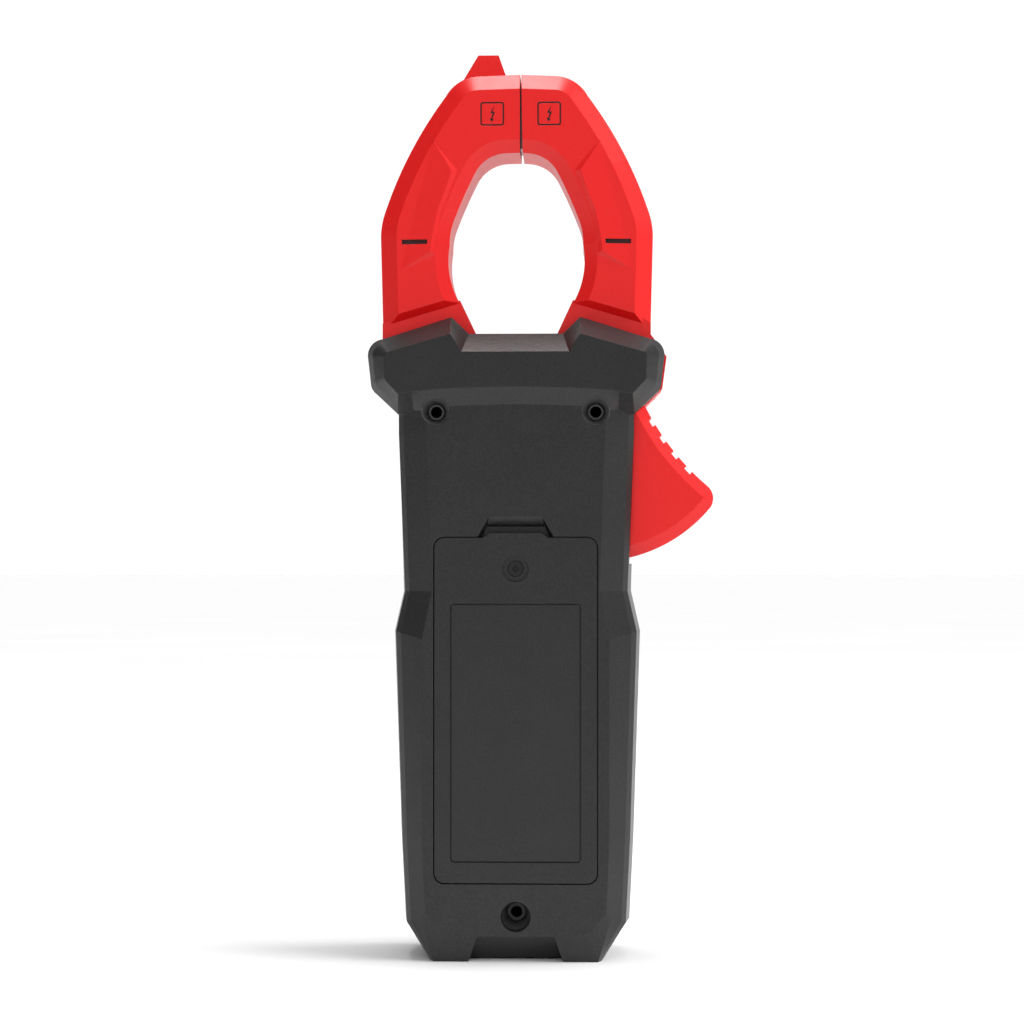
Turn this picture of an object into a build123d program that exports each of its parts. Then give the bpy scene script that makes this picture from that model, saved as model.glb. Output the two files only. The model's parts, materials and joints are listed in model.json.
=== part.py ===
"""Hand-held clamp meter: two covers, a fixed jaw, a moving jaw on a lever with a trigger,
a battery bay with a door, a rotary switch, keys, a display and two test-lead sockets.

Frame: millimetres, +Z up along the meter, origin under the middle of its bottom end.
The display side faces -Y, the battery side faces +Y, the trigger is on the -X side.
"""
from build123d import *
import math
import os

os.makedirs("parts", exist_ok=True)

# ---- driving dimensions -------------------------------------------------------------------
REAR_FLAT_Y = 15.0            # battery-side face of the body
REAR_SIDE_Y = 10.0            # where the battery-side bevel meets the side wall
FRONT_FLAT_Y = -16.0          # display-side face of the body
FRONT_SIDE_Y = -11.0
EDGE_FACET = 1.6              # depth of the narrow facet between side wall and bevel
FOOT_DEPTH = 1.4              # the bottom end's level face stops this far from the flat faces
SHOULDER_RISE = 3.0           # the shoulder stands this far proud of the body faces
WALL = 2.2

LEVER_REAR_Y = 7.3            # lever and necks between the covers
LEVER_FRONT_Y = -6.3
SLOT_GAP = 0.4                # clearance between the lever and the covers
JAW_REAR_Y = 9.0
JAW_FRONT_Y = -10.0
JAW_SPLIT_Y = -3.5            # parting plane of the jaw shells
CORE_REAR_Y = 5.0
CORE_FRONT_Y = -4.0
FIT = 0.15                    # pocket clearance around pressed-in pieces

PIVOT_X = -19.1               # lever pivot, on the axis of one upper case screw
PIVOT_Z = 131.3
BUSH_R = 4.0
RUNNING = 0.05                # radial running clearance
HUB_R = 7.5
SPRING_R = 5.0                # mean radius of the return spring
SPRING_WIRE_R = 0.42
SPRING_PITCH = 1.0
SPRING_TURNS = 2.5
SCREW_R = 1.45
SCREW_HOLE_R = 1.5
SCREW_SOCKET_R = 1.35
SCREW_HEAD_T = 1.3
LOWER_SCREW_Z = 10.9

JAW_CHAMFER = 4.0             # width of the outer chamfer on the jaw faces
JAW_CHAMFER_DEPTH = 3.4
SCOOP = 3.0                   # width of the bevel around the jaw opening
SCOOP_DEPTH = 1.5
FIXED_END_X = -0.85           # mating face of the fixed jaw
MOVING_END_X = -1.15          # mating face of the moving jaw at its top
MOVING_END_LOW_X = -1.5       # and beside the opening

DOOR_HALF = 19.35
DOOR_LOW_Z = 18.9
DOOR_HIGH_Z = 101.15
DOOR_R = 2.4
DOOR_THICK = 2.0
DOOR_GAP = 0.28
LABEL_HALF = 15.6
LABEL_LOW_Z = 23.8
LABEL_HIGH_Z = 85.5
LABEL_LINE = 0.3
DOOR_SCREW_Z = 93.8

DIAL_Z = 108.0
DIAL_OFF_DEG = 100.0          # where the pointer rests, from straight up
DIAL_HUB_R = 6.0
KNOB_R = 15.5
DIAL_PLATE_R = 19.1
DIAL_PLATE_T = 0.3
BOARD_FRONT_Y = -11.1
BOARD_REAR_Y = -9.5
CONTACT_RINGS = ((6.5, 8.5), (9.5, 11.5), (12.5, 14.5))

KEY_Z = 79.0
KEY_XS = (-15.0, -5.0, 5.0, 15.0)
KEY_NAMES = ("select", "range", "hold", "light")
KEY_W = 7.6
KEY_H = 5.4
KEY_FLANGE = 0.9
KEY_GAP = 0.15

CELL_R = 5.25
CELL_XS = (-11.0, 0.0, 11.0)
CELL_Y = 5.1
CELL_LOW_Z = 32.6
CELL_LEN = 43.7

SOCKET_X = 9.5
SOCKET_BORE_R = 2.0
SOCKET_R = 3.2
SOCKET_LOW_Z = 0.6
SOCKET_HIGH_Z = 21.1
SOCKET_OPENING_R = 5.6
COLLAR_R = 5.4
COLLAR_LOW_Z = 0.35
COLLAR_STEM_R = 4.85
COLLAR_HIGH_Z = 7.9

BELOW = -0.1                  # outlines start here and are cut off level at Z = 0
BODY_TOP_Z = 147.0            # hidden inside the shoulder
# Half outlines of the casing as (x, z), from the bottom up; every layer has matching points,
# and a three-part entry is an arc: its middle, its end.
BODY_MIDDLE = [(21.33, BELOW), (27.3, 8.7), (28.3, 28.7), (29.9, 78.8), (27.7, 88.4), (28.8, 126.0),
               (28.3, BODY_TOP_Z)]
BODY_SIDE = [(20.64, BELOW), (26.3, 9), (27.3, 28.7), (28.9, 78.8), (26.7, 88.4), (28.2, 126.0),
             (28.3, BODY_TOP_Z)]
BODY_EDGE = [(20.3, BELOW), (25.2, 9.6), (26.1, 28.7), (27.6, 78.4), (25.5, 88.4), (26.9, 126.0),
             (27.1, BODY_TOP_Z)]
BODY_FOOT = [(19.6, BELOW), (23.05, 10.9), (23.85, 28.7), (24.5, 77.6), (22.25, 88.4),
             (23.6, 126.0), (23.8, BODY_TOP_Z)]
BODY_FLAT = [(17.0, 6.6), (21.6, 11.8), (22.3, 28.7), (22.3, 77), (20, 88.4), (21.3, 126.0),
             (21.5, BODY_TOP_Z)]
SHOULDER_SIDE = [(0, 129.1), (14, 128.7), (21.5, 127.8), (24.5, 130.9), (28.3, 130.8),
                 (33.4, 135.6), (34.35, 136.65, (34.75, 138.0)), (35.45, 144.2),
                 (34.85, 147.0, (32.0, 148.75)), (15.4, 154), (11.3, 150)]
SHOULDER_EDGE = [(0, 132.35), (14, 132.0), (21.5, 131.25), (24.5, 132.9), (28.1, 132.7),
                 (32.3, 136.5), (33.15, 137.45, (33.5, 138.6)), (34.1, 144.1),
                 (33.55, 146.2, (31.2, 147.3)), (15.4, 152.1), (11.9, 148.0)]
SHOULDER_FACE = [(0, 136.9), (14, 136.6), (21.5, 136.1), (24.5, 135.8), (27.8, 135.2),
                 (30.4, 138.0), (30.85, 138.6, (31.0, 139.3)), (31.1, 143.8),
                 (30.9, 144.75, (30.0, 145.2)), (15.4, 149.4), (12.8, 145.2)]
SHOULDER_SIDE_DEPTH = 6.0     # depth over which the shoulder bevels run
SHOULDER_EDGE_DEPTH = 3.5     # and where their slope changes


# ---- helpers ------------------------------------------------------------------------------
def mirrored(half):
    """Closed outline from its +X half."""
    return half + [(-x, z) for x, z in reversed(half) if x > 0]


def inset(points, distance):
    """Polygon moved inwards by a distance, corner by corner."""
    area = sum(a[0] * b[1] - b[0] * a[1] for a, b in zip(points, points[1:] + points[:1]))
    turn = 1 if area > 0 else -1
    result = []
    for index, point in enumerate(points):
        before = Vector(*points[index - 1])
        here = Vector(*point)
        after = Vector(*points[(index + 1) % len(points)])
        normals = []
        for start, end in ((before, here), (here, after)):
            along = (end - start).normalized()
            normals.append(Vector(-along.Y, along.X) * turn)
        middle = (normals[0] + normals[1]).normalized()
        reach = distance / max(0.3, middle.dot(normals[0]))
        moved = here + middle * reach
        result.append((moved.X, moved.Y))
    return result


def ring_wire(points, y):
    return Wire.make_polygon([(x, y, z) for x, z in points], close=True)


def prism(points, y0, y1):
    """Straight prism along Y of an (x, z) outline."""
    return Solid.extrude(Face(ring_wire(points, y0)), Vector(0, y1 - y0, 0))


def layers(*sections):
    """Solid through (y, outline) sections, with ruled faces between them."""
    return Solid.make_loft([ring_wire(points, y) for y, points in sections], ruled=True)


def box(x0, x1, y0, y1, z0, z1):
    return Solid.make_box(x1 - x0, y1 - y0, z1 - z0, Plane((x0, y0, z0)))


def disc(x, z, radius, y0, y1):
    """Cylinder along Y."""
    return Solid.make_cylinder(radius, y1 - y0, Plane((x, y0, z), z_dir=(0, 1, 0)))


def post(x, y, radius, z0, z1):
    """Cylinder along Z."""
    return Solid.make_cylinder(radius, z1 - z0, Plane((x, y, z0), z_dir=(0, 0, 1)))


def rounded_box(x0, x1, y0, y1, z0, z1, radius):
    """Box with its four edges along Y rounded."""
    solid = box(x0, x1, y0, y1, z0, z1)
    return solid.fillet(radius, solid.edges().filter_by(Axis.Y))


def edge_loop(points, y):
    """Closed wire of lines and three-point arcs: a point is (x, z), an arc is its mid and end."""
    edges = []
    here = points[0]
    for item in points[1:]:
        if len(item) == 3:
            mid = item[:2]
            end = item[2]
            edges.append(Edge.make_three_point_arc((here[0], y, here[1]), (mid[0], y, mid[1]),
                                                   (end[0], y, end[1])))
            here = end
        else:
            edges.append(Edge.make_line((here[0], y, here[1]), (item[0], y, item[1])))
            here = item
    edges.append(Edge.make_line((here[0], y, here[1]), (points[0][0], y, points[0][1])))
    return Wire(edges)


def curved_prism(points, y0, y1):
    return Solid.extrude(Face(edge_loop(points, y0)), Vector(0, y1 - y0, 0))


def flip(points):
    """The same outline on the other side of X = 0."""
    result = []
    for item in points:
        if len(item) == 3:
            result.append((-item[0], item[1], (-item[2][0], item[2][1])))
        else:
            result.append((-item[0], item[1]))
    return result


def fuse(first, *others):
    solid = first
    for other in others:
        solid = solid + other
    return solid


def cut(solid, *tools):
    for tool in tools:
        solid = solid - tool
    return solid


def save(name, *solids):
    """Write one node; several solids stay separate in it."""
    flat = []
    for item in solids:
        flat.extend(item.solids())
    shape = flat[0] if len(flat) == 1 else Compound(children=flat)
    export_step(shape, f"parts/{name}.step")


def screw(x, z, head_y, head_r, head_t, tip_y, shank_r, socket_r, socket_depth):
    """Screw along Y driven from +Y, with a round-bottomed drive socket."""
    solid = fuse(disc(x, z, head_r, head_y, head_y + head_t), disc(x, z, shank_r, tip_y, head_y))
    top = head_y + head_t
    return cut(solid, disc(x, z, socket_r, top - socket_depth, top + 1))


def marks(points):
    """A point on each stretch of an outline."""
    result = []
    here = points[0]
    for item in points[1:]:
        if len(item) == 3:
            result.append(item[:2])
            here = item[2]
        else:
            result.append(((here[0] + item[0]) / 2, (here[1] + item[1]) / 2))
            here = item
    return result


def edges_at(solid, y, points):
    """Edges in a solid's face at Y = y that run along the given outline."""
    wanted = [Vertex(x, y, z) for x, z in marks(points)]
    found = []
    for edge in solid.edges():
        flat = abs((edge @ 0).Y - y) < 1e-4 and abs((edge @ 1).Y - y) < 1e-4
        if flat and any(edge.distance_to(mark) < 1e-3 for mark in wanted):
            found.append(edge)
    return found


def face_at(solid, y):
    """The largest face of a solid in the plane Y = y."""
    faces = [f for f in solid.faces() if abs(f.center().Y - y) < 1e-4]
    return max(faces, key=lambda face: face.area)


def trim(solid, plane):
    """Remove what lies on the side that a plane's normal points to."""
    corner = plane.origin - plane.x_dir * 200 - plane.y_dir * 200
    half = Solid.make_box(400, 400, 200, Plane(corner, x_dir=plane.x_dir, z_dir=plane.z_dir))
    return solid - half


def side(sign, points):
    """An outline given for +X, on the wanted side."""
    return points if sign > 0 else flip(points)


# ---- jaws ---------------------------------------------------------------------------------
# Outlines seen along Y, for the +X side; a three-part entry is an arc: its middle, its end.
JAW_OUTER = [(9.2, 212.9), (13.9, 211.5, (17.2, 208.0)), (25.6, 194.7, (31.7, 180.5)),
             (32.6, 177.25, (32.9, 173.9)), (32.35, 152.1)]
JAW_INNER = [(13.6, 157.6), (16.05, 164.1, (16.1, 171.8)), (15.9, 174.8, (15.1, 177.75)),
             (12.9, 183.1, (10.0, 189.2)), (7.2, 192.4, (2.6, 193.95))]
JAW_TOP_Z = 213.2
OPENING_TOP_Z = 194.05
OPENING = [(9.5, 149.9)] + JAW_INNER + [(0, OPENING_TOP_Z)]
CORE_OUTER = [(8.8, 210.9), (12.6, 209.6, (15.3, 206.8)), (22.2, 193.2, (27.4, 178.9)),
              (28.2, 175.9, (28.3, 172.9)), (27.9, 150.0)]
CORE_INNER = [(17.6, 157.5), (19.6, 164.7, (19.6, 172.0)), (18.3, 178.7, (15.9, 184.8)),
              (12.9, 190.6), (8.6, 194.4, (3.0, 195.35))]
CORE_TOP_Z = 210.9
CORE_UNDER_Z = 195.35
FIXED_POLE_X = -0.98          # the cores stand proud of their shells and all but touch
MOVING_POLE_X = -1.02
CORE_LOW_Z = 138.5
CORE_HIGH_Z = 145.0
PANEL = [(20.2, 197.0), (24.6, 187.6), (27.6, 178.6), (28.4, 165.2), (19.5, 169.4),
         (19.4, 172.6), (18.2, 179.0), (16.3, 183.9), (14.1, 189.7)]
PANEL_LOW = (28.6, 165.4)     # the panel's level line runs from here
PANEL_HIGH = (20.4, 197.2)    # to here, and it rises towards the opening
PANEL_INNER = (17.9, 179.5)
PANEL_EDGE_DEG = 58
PANEL_RISE = 0.75
STEP_BEVEL = 1.9
BAR_X = 24.5
BAR_HALF = 3.05
BAR_FLOOR_Y = 8.2
BAR_LOW_Z = 171.9
BAR_HIGH_Z = 173.0
BADGE_MIDDLE_X = -1.05
BADGE_X = 6.85                # from that middle to each badge
BADGE_Z = 203.2
BADGE_HALF = 2.85
BADGE_LINE = 0.35
BADGE_DEPTH = 0.3
NECK_SIDE_X = 32.35
LEG_END_X = -9.3              # where the fixed core's lower leg meets the moving core


def jaw_top(sign, end_x, end_low_x):
    """Full-thickness half of the jaws, above its step."""
    outline = [(sign * end_x, JAW_TOP_Z)] + JAW_OUTER + JAW_INNER
    outline = outline + [(sign * end_low_x, OPENING_TOP_Z)]
    block = curved_prism(side(sign, outline), JAW_FRONT_Y, JAW_REAR_Y)
    outer = side(sign, [(sign * end_x, JAW_TOP_Z)] + JAW_OUTER)
    for y in (JAW_REAR_Y, JAW_FRONT_Y):
        edges = edges_at(block, y, outer)
        block = block.chamfer(JAW_CHAMFER, JAW_CHAMFER_DEPTH, edges, face_at(block, y))
    for y, out in ((JAW_REAR_Y, 1), (JAW_FRONT_Y, -1)):
        block = block - scoop_tool(y, out)
        block = block + raised_panel(sign, y, out)
        block = trim(block, step_plane(sign, y, out))
    return block


def scoop_tool(y, out):
    """Widening cut around the opening at one face of the jaws."""
    outline = OPENING[:-1] + list(reversed_outline(flip(OPENING[:-1])))
    base = Face(edge_loop(outline, y - SCOOP_DEPTH * out))
    taper = -math.degrees(math.atan(SCOOP / SCOOP_DEPTH))
    return Solid.extrude_taper(base, (0, (SCOOP_DEPTH + 0.01) * out, 0), taper)


def reversed_outline(points):
    """The same stretches, drawn the other way round."""
    ends = [item if len(item) == 2 else item[2] for item in points]
    result = [ends[-1]]
    for index in range(len(points) - 1, 0, -1):
        item = points[index]
        if len(item) == 3:
            result.append((item[0], item[1], ends[index - 1]))
        else:
            result.append(ends[index - 1])
    return result


def raised_panel(sign, face_y, out):
    """Panel on a jaw face that rises from its outer edge towards the opening."""
    points = [(sign * x, z) for x, z in PANEL]
    base = Face(ring_wire(points, face_y - 0.02 * out))
    block = Solid.extrude_taper(base, (0, 1.1 * out, 0), PANEL_EDGE_DEG)
    low, high = [Vector(sign * x, face_y - 0.05 * out, z) for x, z in (PANEL_LOW, PANEL_HIGH)]
    inner = Vector(sign * PANEL_INNER[0], face_y + PANEL_RISE * out, PANEL_INNER[1])
    normal = (high - low).cross(inner - low).normalized()
    return trim(block, Plane(origin=low, z_dir=normal if normal.Y * out > 0 else normal * -1))


def step_plane(sign, y, out):
    """Slope under the jaw, where it drops to its neck."""
    a = Vector(sign * 32.35, y, 152.1 + STEP_BEVEL)
    b = Vector(sign * 13.6, y, 157.6 + STEP_BEVEL)
    c = Vector(sign * 32.35, y - STEP_BEVEL * out, 152.1)
    normal = (b - a).cross(c - a).normalized()
    return Plane(origin=a, z_dir=normal if normal.Z < 0 else normal * -1)


def core_prism(sign, end_x, low_points, grow=0.0):
    """Iron core half; its pocket is the same outline with thickness added."""
    outline = [(sign * end_x, CORE_TOP_Z)] + CORE_OUTER + low_points + CORE_INNER
    outline = outline + [(sign * end_x, CORE_UNDER_Z)]
    return curved_prism(side(sign, outline), CORE_FRONT_Y - grow, CORE_REAR_Y + grow)


def pole_bevel_cut(end_x, end_low_x):
    """Cuts the moving mating face back so that the gap widens towards the opening."""
    points = [(end_x, JAW_TOP_Z + 1), (2, JAW_TOP_Z + 1), (2, OPENING_TOP_Z - 2),
              (end_low_x, OPENING_TOP_Z - 2)]
    return prism(points, JAW_FRONT_Y - 1, JAW_REAR_Y + 2)


def bar_groove(sign):
    """Short horizontal groove on the jaw's battery-side face."""
    x = sign * BAR_X
    return box(x - BAR_HALF, x + BAR_HALF, BAR_FLOOR_Y, JAW_REAR_Y + 2, BAR_LOW_Z, BAR_HIGH_Z)


def badge(sign, inside):
    """Warning-badge outline on the jaw: a rounded square with a zig-zag in it."""
    x = BADGE_MIDDLE_X + sign * BADGE_X
    low = JAW_REAR_Y - BADGE_DEPTH
    top = JAW_REAR_Y + inside
    outer = badge_square(x, BADGE_HALF, low, top, 0.65)
    inner = badge_square(x, BADGE_HALF - BADGE_LINE, low - 0.1, JAW_REAR_Y + 1, 0.4)
    zigzag = [(0.5, 2.0), (-0.55, 0.1), (0.1, 0.15), (-0.25, -1.1), (-0.65, -1.0), (-0.2, -2.0),
              (0.4, -1.3), (0.05, -1.2), (0.7, 0.5), (0.1, 0.45)]
    return [outer - inner, prism([(x - dx, BADGE_Z + dz) for dx, dz in zigzag], low, top)]


def badge_square(x, half, y0, y1, radius):
    return rounded_box(x - half, x + half, y0, y1, BADGE_Z - half, BADGE_Z + half, radius)


# ---- fixed jaw ----------------------------------------------------------------------------
FIXED_NECK = [(13.6, 158.5), (9.5, 149.9), (9.6, 146.5), (9.6, 133.5), (12.6, 127.4),
              (25.2, 127.4), (26.2, 131.4), (31.0, 138.0), (31.0, 146.4), (NECK_SIDE_X, 149.0),
              (NECK_SIDE_X, 153.0), (25, 158.0)]
FIXED_CORE_LOW = [(27.9, CORE_LOW_Z), (LEG_END_X, CORE_LOW_Z), (LEG_END_X, CORE_HIGH_Z),
                  (12.0, CORE_HIGH_Z)]
TIP_TOP_Z = 219.9
TIP = [(2.3, 206.5), (2.3, 213.1), (4.7, TIP_TOP_Z), (9.7, TIP_TOP_Z), (13.8, 213.1), (13.8, 206.5)]
TIP_FRONT_Y = -9.0
COIL_X0 = -6.6
COIL_X1 = 8.6


def fixed_jaw():
    body = fuse(jaw_top(1, FIXED_END_X, FIXED_END_X),
                prism(FIXED_NECK, LEVER_FRONT_Y, LEVER_REAR_Y))
    body = fuse(body, tip_prism())
    low = [(27.9, CORE_LOW_Z - FIT), (8.8, CORE_LOW_Z - FIT), (8.8, CORE_HIGH_Z + FIT),
           (11.8, CORE_HIGH_Z + FIT)]
    pocket = core_prism(1, FIXED_END_X - 1, low, FIT)
    body = cut(body, pocket, disc(-PIVOT_X, PIVOT_Z, SCREW_HOLE_R + 0.2, -20, 20),
               bar_groove(1), *badge(1, 1.0), antenna(FIT))
    rear, front = shells(body)
    save("fixed_jaw_rear_shell", rear)
    save("fixed_jaw_front_shell", front)
    save("fixed_jaw_core", core_prism(1, FIXED_POLE_X, FIXED_CORE_LOW))
    save("fixed_jaw_badge", *badge(1, -0.05))
    save("field_antenna", antenna(0))
    save_coil()


def tip_prism():
    """Voltage-probe tip on the fixed jaw's display-side shell."""
    return prism(TIP, TIP_FRONT_Y, JAW_SPLIT_Y)


def antenna(gap):
    return box(6.2 - gap, 7.8 + gap, -6.9 - gap, -5.7 + gap, 206.0 - gap, 217.0 + gap)


def shells(body):
    """Split a jaw at its parting plane into battery-side and display-side shells."""
    rear = body & box(-80, 80, JAW_SPLIT_Y, 40, 60, 240)
    front = body & box(-80, 80, -40, JAW_SPLIT_Y, 60, 240)
    return rear, front


def save_coil():
    """Bobbin and winding on the lower leg of the fixed core."""
    z0, z1 = CORE_LOW_Z, CORE_HIGH_Z
    y0, y1 = CORE_FRONT_Y, CORE_REAR_Y
    core_hole = box(-20, 20, y0 - 0.1, y1 + 0.1, z0 - 0.1, z1 + 0.1)
    bobbin = box(COIL_X0, COIL_X1, y0 - 0.8, y1 + 0.8, z0 - 0.8, z1 + 0.8)
    for x in (COIL_X0, COIL_X1 - 1.0):
        bobbin = bobbin + box(x, x + 1.0, y0 - 2.0, y1 + 2.0, z0 - 2.4, z1 + 2.4)
    save("coil_bobbin", bobbin - core_hole)
    winding = box(COIL_X0 + 1.0, COIL_X1 - 1.0, y0 - 1.8, y1 + 1.8, z0 - 2.2, z1 + 2.2)
    winding = winding - box(COIL_X0, COIL_X1, y0 - 0.8, y1 + 0.8, z0 - 0.8, z1 + 0.8)
    save("coil_winding", winding.fillet(0.8, winding.edges().filter_by(Axis.X).sort_by(
        lambda edge: edge.distance_to(Vertex(1, 0.5, 141.75)))[-4:]))


# ---- lever: moving jaw and trigger --------------------------------------------------------
LEVER_NECK = [(-13.6, 158.5), (-9.6, 149.9), (-9.6, 136.4), (-12.2, 131.3), (-19.1, 127.0),
              (-31.4, 133.3), (-35.1, 137.1), (-36.15, 144.8), (-33.1, 149.2),
              (-32.35, 150.2), (-32.35, 153.0), (-25, 158.0)]
TRIGGER_R = 35.8
TRIGGER_TIP_TOP = (-46.2, 113.6)
TRIGGER_TIP = (-47.4, 110.9)
TRIGGER_SHARP_DEG = 56.2      # where the tip would be if it weren't rounded
TRIGGER_ROUND_DEG = 50.6      # where its rounding meets the arc
TRIGGER_BEVEL = 2.8
TRIGGER_BEVEL_DEPTH = 1.9
TRIGGER_INSIDE_DEG = 9.0      # how far the sector reaches into the casing, from straight down
GRIP_NOTCHES = 4
NOTCH_START = 10.3            # along the grip edge, from its hidden top end
NOTCH_PITCH = 4.8
NOTCH_WIDTH = 1.9
NOTCH_DEPTH = 0.85
TRIGGER_PIN = (-26.4, 134.6)


def on_arc(radius, degrees):
    """Point about the lever pivot, measured from straight down towards -X."""
    angle = math.radians(degrees)
    return (PIVOT_X - radius * math.sin(angle), PIVOT_Z - radius * math.cos(angle))


def trigger_outline(tip):
    """Sector between the grip edge and an arc about the pivot; tip is the way round its point."""
    middle = on_arc(TRIGGER_R, 30.0)
    end = on_arc(TRIGGER_R, TRIGGER_INSIDE_DEG)
    return [(-28.6, 138.6), (-36.4, 124.2, TRIGGER_TIP_TOP)] + tip + [
        (middle[0], middle[1], end), (-17.0, 129.0)]


def grip_notches():
    """Square notches across the trigger's outer edge, evenly spaced along it."""
    start, arc = trigger_outline([])[:2]
    edge = Edge.make_three_point_arc((start[0], 0, start[1]), (arc[0], 0, arc[1]),
                                     (arc[2][0], 0, arc[2][1]))
    tools = []
    for index in range(GRIP_NOTCHES):
        share = (NOTCH_START + index * NOTCH_PITCH) / edge.length
        plane = Plane(origin=edge @ share, x_dir=edge % share, z_dir=(0, 1, 0))
        tools.append(plane.location * Solid.make_box(
            NOTCH_WIDTH, 4, 30, Plane((-NOTCH_WIDTH / 2, -NOTCH_DEPTH, -15))))
    return tools


def lever():
    hub = disc(PIVOT_X, PIVOT_Z, HUB_R, LEVER_FRONT_Y, LEVER_REAR_Y)
    body = fuse(jaw_top(-1, MOVING_END_X, MOVING_END_LOW_X),
                prism(LEVER_NECK, LEVER_FRONT_Y, LEVER_REAR_Y), hub)
    low = [(27.9, CORE_LOW_Z - FIT), (9.0, CORE_LOW_Z - FIT), (9.0, CORE_HIGH_Z + FIT),
           (11.8, CORE_HIGH_Z + FIT)]
    pocket = core_prism(-1, MOVING_END_X + 2, low, FIT)
    spring_room = disc(PIVOT_X, PIVOT_Z, 6.4, LEVER_FRONT_Y - 1, LEVER_FRONT_Y + 3.2)
    leg_room = box(PIVOT_X + 4.4, PIVOT_X + 5.6, LEVER_FRONT_Y - 1, LEVER_FRONT_Y + 3.2,
                   PIVOT_Z, PIVOT_Z + 7.2)
    tab = trigger_tab(0.1)
    pin = disc(*TRIGGER_PIN, 1.0, LEVER_FRONT_Y - 1, LEVER_REAR_Y + 1)
    body = cut(body, pocket, disc(PIVOT_X, PIVOT_Z, BUSH_R + 1.0, -20, 20), spring_room, leg_room,
               tab, pin, bar_groove(-1), *badge(-1, 1.0), pole_bevel_cut(MOVING_END_X,
                                                                         MOVING_END_LOW_X))
    rear, front = shells(body)
    save("moving_jaw_rear_shell", rear)
    save("moving_jaw_front_shell", front)
    core_low = [(27.9, CORE_LOW_Z), (9.75, CORE_LOW_Z), (9.75, CORE_HIGH_Z), (12.0, CORE_HIGH_Z)]
    save("moving_jaw_core", core_prism(-1, MOVING_POLE_X, core_low))
    save("moving_jaw_badge", *badge(-1, -0.05))
    sleeve = disc(PIVOT_X, PIVOT_Z, BUSH_R + 1.0, LEVER_FRONT_Y + 3.2, LEVER_REAR_Y)
    save("lever_sleeve", sleeve - disc(PIVOT_X, PIVOT_Z, BUSH_R + RUNNING, -20, 20))
    save("trigger", trigger())
    pin = disc(*TRIGGER_PIN, 1.0, LEVER_FRONT_Y + 0.3, LEVER_REAR_Y - 0.3)
    save("trigger_pin", pin)


def trigger_tab(gap):
    """Tongue by which the trigger plugs into the lever."""
    x, z = TRIGGER_PIN
    return box(x - 2.6 - gap, x + 2.6 + gap, -2.0 - gap, 3.0 + gap, z - 9, z + 2.6 + gap)


def trigger():
    sharp = trigger_outline([on_arc(TRIGGER_R, TRIGGER_SHARP_DEG)])
    bevel_angle = math.degrees(math.atan(TRIGGER_BEVEL / TRIGGER_BEVEL_DEPTH))
    low = LEVER_FRONT_Y + TRIGGER_BEVEL_DEPTH
    high = LEVER_REAR_Y - TRIGGER_BEVEL_DEPTH
    solid = curved_prism(sharp, low, high)
    for y, out in ((high, 1), (low, -1)):
        base = Face(edge_loop(sharp, y))
        depth = TRIGGER_BEVEL_DEPTH * out
        solid = solid + Solid.extrude_taper(base, (0, depth, 0), bevel_angle)
    tip = [(*TRIGGER_TIP, on_arc(TRIGGER_R, TRIGGER_ROUND_DEG))]
    solid = solid & curved_prism(trigger_outline(tip), -20, 20)
    solid = cut(solid, prism(LEVER_NECK, -30, 30), *grip_notches(),
                disc(PIVOT_X, PIVOT_Z, HUB_R + 0.02, -30, 30))
    solid = fuse(solid, trigger_tab(0) - disc(PIVOT_X, PIVOT_Z, HUB_R + 0.02, -30, 30))
    return solid - disc(*TRIGGER_PIN, 1.0, -30, 30)


# ---- covers -------------------------------------------------------------------------------
LEVER_SLOT = [(-60, 95.0), (-15, 95.0), (-15, 147.8), (-9.2, 147.8), (-9.2, 170), (-60, 170)]
FIXED_SLOT = [(9.3, 147.8), (15, 147.8), (15, 146.0), (31.2, 146.0), (32.6, 148.6), (32.6, 170),
              (9.3, 170)]
SHOULDER_POCKET = [(-40, 131.0), (-40, 147.8), (32.0, 147.8), (33.4, 144.6), (32.4, 138.2),
                   (27.0, 131.0)]
UPPER_BOSS_R = 4.3
FLOOR_Z = 2.2
NOTCH_THROAT_Y = 13.4
NOTCH_FLOOR_Y = 11.8


def rounded_layers(*sections):
    """Like layers, for half outlines that have arcs in them."""
    wires = []
    for y, half in sections:
        wires.append(edge_loop(half + reversed_outline(flip(half))[:-1], y))
    return Solid.make_loft(wires, ruled=True)


def cover_outer(side_y, flat_y):
    """Outer form of one cover: drafted body plus the raised shoulder."""
    out = 1 if flat_y > 0 else -1
    body = layers((0, mirrored(BODY_MIDDLE)), (side_y, mirrored(BODY_SIDE)),
                  (side_y + EDGE_FACET * out, mirrored(BODY_EDGE)),
                  (flat_y - FOOT_DEPTH * out, mirrored(BODY_FOOT)), (flat_y, mirrored(BODY_FLAT)))
    top = flat_y + SHOULDER_RISE * out
    shoulder = rounded_layers((0, SHOULDER_SIDE), (top - SHOULDER_SIDE_DEPTH * out, SHOULDER_SIDE),
                              (top - SHOULDER_EDGE_DEPTH * out, SHOULDER_EDGE),
                              (top, SHOULDER_FACE))
    return trim(body + shoulder, Plane((0, 0, 0), x_dir=(1, 0, 0), z_dir=(0, 0, -1)))


def cover_cavity(side_y, flat_y):
    out = 1 if flat_y > 0 else -1
    wide = inset(mirrored(BODY_SIDE), WALL)
    return layers((-0.5 * out, wide), (side_y - 0.6 * out, wide),
                  (flat_y - WALL * out, inset(mirrored(BODY_FLAT), 1.2)))


def screw_places():
    """Case screws as (x, z, counterbore floor y, floor radius, radius at the surface)."""
    return [(PIVOT_X, PIVOT_Z, 9.2, 2.0, 3.3), (-PIVOT_X, PIVOT_Z, 9.2, 2.0, 3.3),
            (0, LOWER_SCREW_Z, 4.4, 2.3, 3.55)]


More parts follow.
